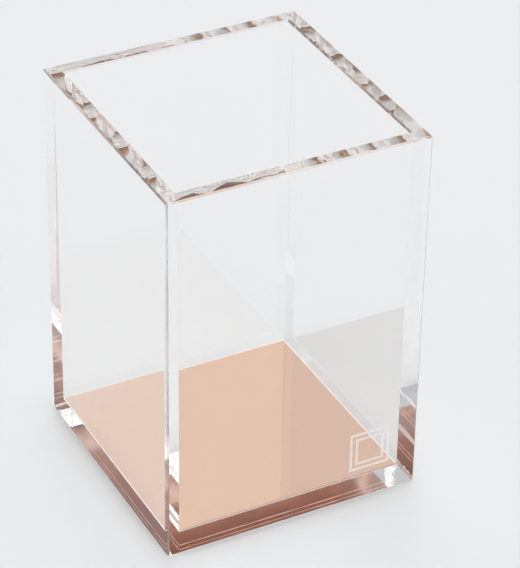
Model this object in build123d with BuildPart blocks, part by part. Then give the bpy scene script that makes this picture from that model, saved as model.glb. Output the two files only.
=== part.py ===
from build123d import *
import os

# Square open-top pen cup: four clear acrylic walls bonded round a rose-gold mirror floor.
# Millimetres. +Z is up, -Y is the front, and the origin is the centre of the resting face.

# ---- driving dimensions ----
outer_width = 80.0  # along X
outer_depth = 80.0  # along Y
cup_height = 117.5  # resting face to rim
wall_thickness = 4.7  # clear acrylic sheet
base_thickness = 5.7  # clear acrylic sheet of the base
film_thickness = 0.3  # rose-gold mirror film, laid on top of the base
polish_bevel = 0.5  # bevel left on every exposed edge when the bonded cup is polished

# ---- worked out from them ----
inner_width = outer_width - 2 * wall_thickness
inner_depth = outer_depth - 2 * wall_thickness
side_wall_x = (outer_width - wall_thickness) / 2
end_wall_y = (outer_depth - wall_thickness) / 2


# The outside of the bonded cup as one block, with its twelve edges bevelled by the polishing.
with BuildPart() as polished_block:
    with BuildSketch(Plane.XY):
        Rectangle(outer_width, outer_depth)
    extrude(amount=cup_height)
    chamfer(polished_block.edges(), length=polish_bevel)

# What the polishing takes off round the inside of the rim: a shallow flared square.
with BuildPart() as rim_flare:
    with BuildSketch(Plane.XY.offset(cup_height - polish_bevel)):
        Rectangle(inner_width, inner_depth)
    with BuildSketch(Plane.XY.offset(cup_height)):
        Rectangle(inner_width + 2 * polish_bevel, inner_depth + 2 * polish_bevel)
    loft()


def polished_wall(centre, width, depth):
    """A clear wall standing on the resting face, cut to its place in the polished cup."""
    with BuildPart() as wall:
        with BuildSketch(Plane.XY):
            with Locations(centre):
                Rectangle(width, depth)
        extrude(amount=cup_height)
        add(polished_block.part, mode=Mode.INTERSECT)
        add(rim_flare.part, mode=Mode.SUBTRACT)
    return wall


# ---- walls ----
# The two side walls run the full depth. The front and back walls are bonded between them,
# so the polished ends of the side walls show on the front and back faces.
left_wall = polished_wall((-side_wall_x, 0), wall_thickness, outer_depth)
left_wall.part.label = "left_wall"

right_wall = polished_wall((side_wall_x, 0), wall_thickness, outer_depth)
right_wall.part.label = "right_wall"

front_wall = polished_wall((0, -end_wall_y), inner_width, wall_thickness)
front_wall.part.label = "front_wall"

back_wall = polished_wall((0, end_wall_y), inner_width, wall_thickness)
back_wall.part.label = "back_wall"

# ---- base ----
# A clear sheet set between the walls, flush with their lower edges, with the mirror film on top
# of it: the floor of the cup is the mirror, and its underside shows through the sheet's edges.
with BuildPart() as base_plate:
    with BuildSketch(Plane.XY):
        Rectangle(inner_width, inner_depth)
    extrude(amount=base_thickness)
base_plate.part.label = "base_plate"

with BuildPart() as mirror_film:
    with BuildSketch(Plane.XY.offset(base_thickness)):
        Rectangle(inner_width, inner_depth)
    extrude(amount=film_thickness)
mirror_film.part.label = "mirror_film"

# ---- one STEP file for each piece ----
os.makedirs("parts", exist_ok=True)
for piece in (left_wall, right_wall, front_wall, back_wall, base_plate, mirror_film):
    export_step(piece.part, f"parts/{piece.part.label}.step")
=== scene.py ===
"""Looks of the pen cup: clear bonded acrylic walls round a rose-gold mirror base, on a pale studio floor."""

import math

import bmesh
import bpy
from mathutils import Matrix, Vector


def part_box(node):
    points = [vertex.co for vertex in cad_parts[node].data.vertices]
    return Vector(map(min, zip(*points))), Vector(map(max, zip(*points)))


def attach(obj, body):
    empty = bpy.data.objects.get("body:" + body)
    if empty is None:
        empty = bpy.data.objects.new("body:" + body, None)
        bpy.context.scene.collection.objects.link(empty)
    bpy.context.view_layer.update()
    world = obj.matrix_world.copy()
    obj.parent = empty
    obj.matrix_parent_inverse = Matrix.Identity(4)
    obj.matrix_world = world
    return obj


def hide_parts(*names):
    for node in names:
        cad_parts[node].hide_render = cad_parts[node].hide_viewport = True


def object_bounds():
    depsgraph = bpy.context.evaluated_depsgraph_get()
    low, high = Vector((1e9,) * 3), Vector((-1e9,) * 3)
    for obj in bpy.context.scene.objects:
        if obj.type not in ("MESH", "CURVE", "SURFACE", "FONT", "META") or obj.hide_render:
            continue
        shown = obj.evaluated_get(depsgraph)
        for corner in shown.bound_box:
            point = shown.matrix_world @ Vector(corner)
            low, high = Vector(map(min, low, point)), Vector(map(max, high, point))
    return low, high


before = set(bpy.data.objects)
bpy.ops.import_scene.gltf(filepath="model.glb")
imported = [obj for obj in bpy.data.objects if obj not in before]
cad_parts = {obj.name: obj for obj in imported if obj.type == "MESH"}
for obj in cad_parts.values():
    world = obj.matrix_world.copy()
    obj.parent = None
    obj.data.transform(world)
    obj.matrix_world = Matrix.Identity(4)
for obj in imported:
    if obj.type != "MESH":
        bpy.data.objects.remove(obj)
cad_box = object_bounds()

MM = 0.001

# ---- places read from the frame ----
cup_low, cup_high = cad_box
film_low, film_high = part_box("mirror_film")
well_x = film_high.x  # half widths of the well, inside the walls
well_y = film_high.y
bond_top = film_high.z  # below this the walls are bonded to the base

# ---- cement and joints, with the shade and highlight painted along the floor's edges ----
cement_low = 0.65 * MM  # the milky line along the foot of the base's joints
cement_high = 0.95 * MM
shade_line_width = 0.45 * MM  # of the darker mirror strip on the floor along the front wall: painted shade, where floor meets wall
bead_and_highlight_width = 0.2 * MM  # of the pale strip along the other walls: a cement bead, painted pale as its highlight too
sheet_inset = 0.01 * MM  # sets the base and the film inside the walls, so that no two faces share a plane

# ---- telling the faces apart ----
touching = 0.02 * MM  # a face nearer than this to another piece is bonded to it
square_on = 0.9  # how far along an axis the unit normal of a face that is square to it reaches, at least
upright = 0.1  # how far up the normal of an upright face reaches, at most
same_point = 1e-6  # vertices nearer than this are merged
on_plane = 1e-7  # vertices nearer than this to a cutting plane are on it

# ---- the frosted mark ----
mark_frames = (6.5 * MM, 4.6 * MM)  # half the side of each square
mark_line = 0.8 * MM
mark_centre = Vector((24.5 * MM, cup_low.y, 17 * MM))

# ---- acrylic ----
acrylic_ior = 1.49
polished_colour = (1.0, 0.995, 0.99)
polished_roughness = 0.01
rim_waves = (190, 0.1 * MM)  # noise scale and depth of the ripples that hand polishing leaves
edge_waves = (110, 0.05 * MM)
foot_waves = (190, 0.07 * MM)

# ---- camera ----
view_azimuth = math.radians(-27.90)  # 0 looks along +Y
view_elevation = math.radians(33.71)
view_roll = math.radians(1.03)
view_distance = 0.776
view_offset = Vector((0.0067, -0.0043, -0.0010))  # aim point, from the middle of the cup
view_lens = 171.4  # mm, on a 36 mm sensor

# ---- studio ----
floor_half_width = 6.0
floor_gap = 0.1 * MM  # between the floor and the resting face
floor_tone = (0.655, 0.666, 0.676)
room_strength = 1.2
horizon_tone = (0.67, 0.68, 0.69)
horizon_top = 0.03  # sines of the elevations between which the room brightens
bright_above = 0.3
dim_side = Vector((-0.39, 0.74, 0.555)).normalized()  # the unlit part of the room, high up at the far left
dim_tone = (0.42, 0.43, 0.46)
dim_outer_angle = math.radians(17)
dim_inner_angle = math.radians(7)
key_place = Vector((0.3, 0.5, 1.5))
key_aim = Vector((0, 0, 0.05))
key_size = 0.4
key_power = 2.0
long_path = 256  # bounces, for light that is piped down inside the walls


# ---- node helpers ----
def new_material(name):
    """An empty node material and its tree."""
    material = bpy.data.materials.new(name)
    material.use_nodes = True
    material.node_tree.nodes.clear()
    return material, material.node_tree


def show(tree, shader):
    output = tree.nodes.new("ShaderNodeOutputMaterial")
    tree.links.new(shader.outputs[0], output.inputs["Surface"])


def coloured(tree, kind, colour):
    shader = tree.nodes.new(kind)
    shader.inputs["Color"].default_value = (*colour, 1)
    return shader


def principled(tree, colour, roughness, metallic=0.0):
    shader = tree.nodes.new("ShaderNodeBsdfPrincipled")
    shader.inputs["Base Color"].default_value = (*colour, 1)
    shader.inputs["Roughness"].default_value = roughness
    shader.inputs["Metallic"].default_value = metallic
    return shader


def clear_principled(tree, colour, roughness):
    shader = principled(tree, colour, roughness)
    shader.inputs["IOR"].default_value = acrylic_ior
    shader.inputs["Transmission Weight"].default_value = 1.0
    return shader


def half_and_half(tree, first, second):
    """Mixes two shaders evenly, until something is linked to the node's Fac."""
    blend = tree.nodes.new("ShaderNodeMixShader")
    tree.links.new(first.outputs[0], blend.inputs[1])
    tree.links.new(second.outputs[0], blend.inputs[2])
    return blend


def object_place(tree):
    return tree.nodes.new("ShaderNodeTexCoord").outputs["Object"]


def times(tree, source, factor):
    scale = tree.nodes.new("ShaderNodeMath")
    scale.operation = "MULTIPLY"
    scale.inputs[1].default_value = factor
    tree.links.new(source, scale.inputs[0])
    return scale.outputs["Value"]


def noise(tree, vector, scale, detail, distortion=0.0):
    texture = tree.nodes.new("ShaderNodeTexNoise")
    texture.inputs["Scale"].default_value = scale
    texture.inputs["Detail"].default_value = detail
    texture.inputs["Distortion"].default_value = distortion
    tree.links.new(vector, texture.inputs["Vector"])
    return texture.outputs["Fac"]


def ramp(tree, source, low, low_colour, high, high_colour):
    tone = tree.nodes.new("ShaderNodeValToRGB")
    for stop, place, colour in zip(tone.color_ramp.elements, (low, high), (low_colour, high_colour)):
        stop.position = place
        stop.color = (*colour, 1)
    tree.links.new(source, tone.inputs["Fac"])
    return tone.outputs["Color"]


def patchy(tree, scale, detail, low, least, high, most):
    """A share that wanders over a face: least where the noise is under low, most where it is over high."""
    return ramp(tree, noise(tree, object_place(tree), scale, detail), low, (least,) * 3, high, (most,) * 3)


def ripple(tree, shader, scale, depth):
    """Long shallow waves, as a polishing wheel or a flame leaves them on the edge of a sheet."""
    bump = tree.nodes.new("ShaderNodeBump")
    bump.inputs["Strength"].default_value = 1.0
    bump.inputs["Distance"].default_value = depth
    waves = noise(tree, object_place(tree), scale, detail=1.0, distortion=0.3)
    tree.links.new(waves, bump.inputs["Height"])
    tree.links.new(bump.outputs["Normal"], shader.inputs["Normal"])


# ---- materials ----
def clear_acrylic():
    material, tree = new_material("clear_acrylic")
    show(tree, clear_principled(tree, (0.997, 1.0, 0.999), roughness=0.0))
    return material


def rippled_acrylic(name, colour, waves, reflection_tint=(1.0, 1.0, 1.0)):
    """Acrylic whose sawn edge was polished by hand, so that it ripples."""
    material, tree = new_material(name)
    shader = clear_principled(tree, colour, polished_roughness)
    shader.inputs["Specular Tint"].default_value = (*reflection_tint, 1)
    ripple(tree, shader, *waves)
    show(tree, shader)
    return material


def haze_and_shade_acrylic(name, roughness, haze_and_shade_colour, least, most):
    """Acrylic under a patchy layer that scatters light both back and through: haze on the rim bevels and
    frosting on the mark, and painted shade in dark grey on the corner bevels.
    """
    material, tree = new_material(name)
    clear = clear_principled(tree, (0.99, 0.98, 0.975), roughness)
    back = coloured(tree, "ShaderNodeBsdfDiffuse", haze_and_shade_colour)
    through = coloured(tree, "ShaderNodeBsdfTranslucent", haze_and_shade_colour)
    blend = half_and_half(tree, clear, half_and_half(tree, back, through))
    haze_and_shade_share = patchy(tree, scale=60, detail=3.0, low=0.35, least=least, high=0.7, most=most)
    tree.links.new(haze_and_shade_share, blend.inputs["Fac"])
    show(tree, blend)
    return material


def cement_line():
    """The narrow milky line where the cement set along a joint: what is behind it shows dimly."""
    material, tree = new_material("cement_line")
    clear = tree.nodes.new("ShaderNodeBsdfTransparent")
    milky = coloured(tree, "ShaderNodeBsdfDiffuse", (0.92, 0.70, 0.60))
    blend = half_and_half(tree, clear, milky)
    milky_share = patchy(tree, scale=150, detail=2.0, low=0.3, least=0.4, high=0.7, most=0.85)
    tree.links.new(milky_share, blend.inputs["Fac"])
    show(tree, blend)
    return material


def solvent_bond():
    """A welded joint: nothing of it shows, and light goes straight on."""
    material, tree = new_material("solvent_bond")
    show(tree, tree.nodes.new("ShaderNodeBsdfTransparent"))
    return material


def mirror(name, colour, roughness):
    material, tree = new_material(name)
    show(tree, principled(tree, colour, roughness, metallic=1.0))
    return material


def pale_plastic(name, colour):
    material, tree = new_material(name)
    show(tree, principled(tree, colour, roughness=0.4))
    return material


def film_underside():
    """The back of the mirror film: brown and satin, with faint streaks that run along its sides."""
    material, tree = new_material("rose_gold_underside")
    shader = principled(tree, (1.0, 1.0, 1.0), roughness=0.16, metallic=1.0)
    apart = tree.nodes.new("ShaderNodeSeparateXYZ")
    tree.links.new(object_place(tree), apart.inputs["Vector"])
    outward = tree.nodes.new("ShaderNodeMath")
    outward.operation = "MAXIMUM"
    for socket, axis in enumerate("XY"):
        side = tree.nodes.new("ShaderNodeMath")
        side.operation = "ABSOLUTE"
        tree.links.new(apart.outputs[axis], side.inputs[0])
        tree.links.new(side.outputs["Value"], outward.inputs[socket])
    along = 25  # noise cells per metre, along the streaks and across them
    across = 700
    stretched = tree.nodes.new("ShaderNodeCombineXYZ")
    tree.links.new(times(tree, apart.outputs["X"], along), stretched.inputs["X"])
    tree.links.new(times(tree, apart.outputs["Y"], along), stretched.inputs["Y"])
    tree.links.new(times(tree, outward.outputs["Value"], across), stretched.inputs["Z"])
    streaks = noise(tree, stretched.outputs["Vector"], scale=1.0, detail=3.0)
    brown = ramp(tree, streaks, 0.3, (0.53, 0.31, 0.23), 0.7, (0.655, 0.42, 0.33))
    tree.links.new(brown, shader.inputs["Base Color"])
    show(tree, shader)
    return material


ACRYLIC = clear_acrylic()
POLISHED_RIM = rippled_acrylic("polished_rim", polished_colour, rim_waves)
POLISHED_END = rippled_acrylic("polished_end", polished_colour, edge_waves)
# The feet of the walls are tinted warm in what passes through them and in what they reflect: painted warm
# light, standing in for rose light bounced onto the table under the walls.
FOOT_PAINTED_WARM = rippled_acrylic("polished_foot_painted_warm", (1.0, 0.96, 0.92), foot_waves, reflection_tint=(0.95, 0.80, 0.70))
# An orange tint on the base's underside: painted warm light, standing in for rose light bounced off the film
# onto the table under the cup.
BASE_FOOT_PAINTED_WARM = rippled_acrylic("base_foot_painted_warm", (1.0, 0.60, 0.36), edge_waves)
RIM_BEVEL = haze_and_shade_acrylic("rim_bevel", 0.02, (0.88, 0.77, 0.72), least=0.25, most=0.5)
# Patchy dark grey on the upright corner bevels: painted shade, darkening the corners where the walls meet.
CORNER_BEVEL_PAINTED_SHADE = haze_and_shade_acrylic("corner_bevel_painted_shade", 0.08, (0.48, 0.43, 0.42), least=0.35, most=0.75)
FROSTED = haze_and_shade_acrylic("frosted_mark", 0.25, (0.95, 0.94, 0.94), least=0.7, most=0.85)
CEMENT_LINE = cement_line()
# A darker copy of the rose mirror: painted shade, as the shade line along the foot of the front wall.
PAINTED_SHADE_LINE = mirror("painted_shade_line_front", (0.42, 0.27, 0.21), roughness=0.25)
# A pale strip along the back and side walls: a cement bead, partly painted highlight, standing in for the
# glint its fillet catches.
PALE_BEAD_AND_HIGHLIGHT = pale_plastic("cement_bead_and_painted_highlight", (0.97, 0.90, 0.86))
BOND = solvent_bond()
FILM_TOP = mirror("rose_gold_mirror", (0.645, 0.428, 0.318), roughness=0.03)
FILM_UNDERSIDE = film_underside()
FILM_EDGE = pale_plastic("film_edge", (0.98, 0.86, 0.80))


# ---- cutting the pieces up ----
def piece_from(node, name):
    """A new object with a copy of the CAD node's mesh, ready to be cut up in mesh code."""
    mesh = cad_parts[node].data.copy()
    mesh.name = name
    mesh.materials.clear()
    piece = bpy.data.objects.new(name, mesh)
    bpy.context.scene.collection.objects.link(piece)
    return piece


def cut(mesh_edit, point, normal):
    """Splits every face that a plane crosses, and keeps both sides."""
    geometry = mesh_edit.verts[:] + mesh_edit.edges[:] + mesh_edit.faces[:]
    bmesh.ops.bisect_plane(mesh_edit, geom=geometry, plane_co=point, plane_no=normal, dist=on_plane)


def rework(node, name, materials, choose, planes):
    """Stands a cut-up copy of a CAD node in its place. choose(centre, normal) picks a face's material."""
    piece = piece_from(node, name)
    mesh = piece.data
    for material in materials:
        mesh.materials.append(material)
    edit = bmesh.new()
    edit.from_mesh(mesh)
    bmesh.ops.remove_doubles(edit, verts=edit.verts[:], dist=same_point)
    for point, normal in planes:
        cut(edit, point, normal)
    for face in edit.faces:
        face.smooth = False
        face.material_index = materials.index(choose(face.calc_center_median(), face.normal))
    edit.to_mesh(mesh)
    edit.free()
    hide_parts(node)
    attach(piece, "root")
    return piece


def across_x(x):
    """A cutting plane square to X."""
    return (x, 0, 0), (1, 0, 0)


def across_y(y):
    return (0, y, 0), (0, 1, 0)


def across_z(z):
    return (0, 0, z), (0, 0, 1)


def is_bonded(centre, normal):
    """Whether a face of a wall touches another wall or the base."""
    if abs(normal.x) > square_on and abs(abs(centre.x) - well_x) < touching:
        return centre.z < bond_top or abs(centre.y) > well_y
    if abs(normal.y) > square_on and abs(abs(centre.y) - well_y) < touching:
        return centre.z < bond_top
    return False


def wall_face(centre, normal):
    if is_bonded(centre, normal):
        return BOND
    if max(abs(normal.x), abs(normal.y), abs(normal.z)) < square_on:
        return CORNER_BEVEL_PAINTED_SHADE if abs(normal.z) < upright else RIM_BEVEL
    if normal.z < -square_on:
        return FOOT_PAINTED_WARM
    if normal.z > square_on:
        return POLISHED_RIM
    sheet_end = abs(normal.y) > square_on and abs(centre.x) > well_x
    return POLISHED_END if sheet_end else ACRYLIC


def in_mark(centre):
    """A plain double frame, frosted low down on the right of the front."""
    away = max(abs(centre.x - mark_centre.x), abs(centre.z - mark_centre.z))
    return any(reach - mark_line < away < reach for reach in mark_frames)


def front_face(centre, normal):
    return FROSTED if normal.y < -square_on and in_mark(centre) else wall_face(centre, normal)


def base_face(centre, normal):
    if normal.z < -square_on:
        return BASE_FOOT_PAINTED_WARM
    return CEMENT_LINE if abs(normal.z) < upright and cement_low < centre.z < cement_high else BOND


def film_face(centre, normal):
    if normal.z < -square_on:
        return FILM_UNDERSIDE
    if abs(normal.z) < upright:
        return FILM_EDGE
    # Along the front wall the floor gets the painted shade line.
    if centre.y < shade_line_width - well_y:
        return PAINTED_SHADE_LINE
    # Along the other walls the pale bead, painted light as its highlight.
    by_wall = max(abs(centre.x) - well_x, centre.y - well_y) > -bead_and_highlight_width
    return PALE_BEAD_AND_HIGHLIGHT if by_wall else FILM_TOP


def draw_in(sheet):
    """Keeps the sides of a sheet just clear of the walls."""
    for vertex in sheet.data.vertices:
        vertex.co.x *= 1 - sheet_inset / well_x
        vertex.co.y *= 1 - sheet_inset / well_y


# ---- walls ----
wall_materials = [ACRYLIC, BOND, POLISHED_RIM, POLISHED_END, RIM_BEVEL, CORNER_BEVEL_PAINTED_SHADE, FOOT_PAINTED_WARM]
wall_cuts = [across_z(bond_top), across_y(well_y), across_y(-well_y)]
for wall in ("left_wall", "right_wall", "back_wall"):
    rework(wall, wall + "_polished", wall_materials, wall_face, wall_cuts)

mark_cuts = []
for reach in mark_frames:
    for side in (-reach, mark_line - reach, reach - mark_line, reach):
        mark_cuts.append(across_x(mark_centre.x + side))
        mark_cuts.append(across_z(mark_centre.z + side))
rework("front_wall", "front_wall_polished", wall_materials + [FROSTED], front_face, wall_cuts + mark_cuts)

# ---- base and film ----
base_cuts = [across_z(cement_low), across_z(cement_high)]
base = rework("base_plate", "base_plate_polished", [BASE_FOOT_PAINTED_WARM, BOND, CEMENT_LINE], base_face, base_cuts)
draw_in(base)

film_materials = [FILM_TOP, FILM_UNDERSIDE, FILM_EDGE, PAINTED_SHADE_LINE, PALE_BEAD_AND_HIGHLIGHT]
film_cuts = [
    across_y(shade_line_width - well_y),
    across_y(well_y - bead_and_highlight_width),
    across_x(bead_and_highlight_width - well_x),
    across_x(well_x - bead_and_highlight_width),
]
film = rework("mirror_film", "mirror_film_sheet", film_materials, film_face, film_cuts)
draw_in(film)
for vertex in film.data.vertices:
    if vertex.co.z < (film_low.z + film_high.z) / 2:
        vertex.co.z -= sheet_inset


# ---- studio ----
def make_floor():
    far = floor_half_width
    z = cup_low.z - floor_gap
    mesh = bpy.data.meshes.new("studio_floor")
    mesh.from_pydata([(-far, -far, z), (far, -far, z), (far, far, z), (-far, far, z)], [], [(0, 1, 2, 3)])
    floor = bpy.data.objects.new("studio_floor", mesh)
    bpy.context.scene.collection.objects.link(floor)
    material, tree = new_material("studio_floor")
    show(tree, principled(tree, floor_tone, roughness=0.6))
    mesh.materials.append(material)


def make_world():
    """A bright room that falls to the floor's own tone at the horizon, with one dim patch high up."""
    world = bpy.data.worlds.new("studio")
    bpy.context.scene.world = world
    world.use_nodes = True
    tree = world.node_tree
    background = tree.nodes["Background"]
    background.inputs["Strength"].default_value = room_strength
    direction = tree.nodes.new("ShaderNodeTexCoord").outputs["Generated"]
    apart = tree.nodes.new("ShaderNodeSeparateXYZ")
    tree.links.new(direction, apart.inputs["Vector"])
    white = (1.0, 1.0, 1.0)
    height = ramp(tree, apart.outputs["Z"], horizon_top, horizon_tone, bright_above, white)
    toward = tree.nodes.new("ShaderNodeVectorMath")
    toward.operation = "DOT_PRODUCT"
    toward.inputs[1].default_value = dim_side
    tree.links.new(direction, toward.inputs[0])
    patch = ramp(tree, toward.outputs["Value"], math.cos(dim_outer_angle), white, math.cos(dim_inner_angle),
                 dim_tone)
    both = tree.nodes.new("ShaderNodeVectorMath")
    both.operation = "MULTIPLY"
    tree.links.new(height, both.inputs[0])
    tree.links.new(patch, both.inputs[1])
    tree.links.new(both.outputs["Vector"], background.inputs["Color"])


def make_key_light():
    lamp = bpy.data.lights.new("key", "AREA")
    lamp.size = key_size
    lamp.energy = key_power
    light = bpy.data.objects.new("key", lamp)
    light.location = key_place
    light.rotation_euler = (key_aim - key_place).to_track_quat("-Z", "Y").to_euler()
    bpy.context.scene.collection.objects.link(light)


def make_camera():
    middle = (cup_low + cup_high) / 2
    back = Vector((
        math.sin(view_azimuth) * math.cos(view_elevation),
        -math.cos(view_azimuth) * math.cos(view_elevation),
        math.sin(view_elevation),
    ))
    data = bpy.data.cameras.new("camera")
    data.lens = view_lens
    data.sensor_width = 36.0
    data.clip_start = 0.01
    data.clip_end = 50.0
    camera = bpy.data.objects.new("camera", data)
    camera.location = middle + view_offset + back * view_distance
    level = (-back).to_track_quat("-Z", "Y").to_matrix()
    camera.rotation_euler = (level @ Matrix.Rotation(view_roll, 3, "Z")).to_euler()
    bpy.context.scene.collection.objects.link(camera)
    bpy.context.scene.camera = camera


make_floor()
make_world()
make_key_light()
make_camera()

scene = bpy.context.scene
scene.view_settings.view_transform = "Standard"
scene.cycles.max_bounces = long_path
scene.cycles.transmission_bounces = long_path
scene.cycles.glossy_bounces = long_path
scene.cycles.diffuse_bounces = 4
scene.cycles.transparent_max_bounces = 128
scene.cycles.blur_glossy = 0.0  # keeps what shows in the mirror sharp
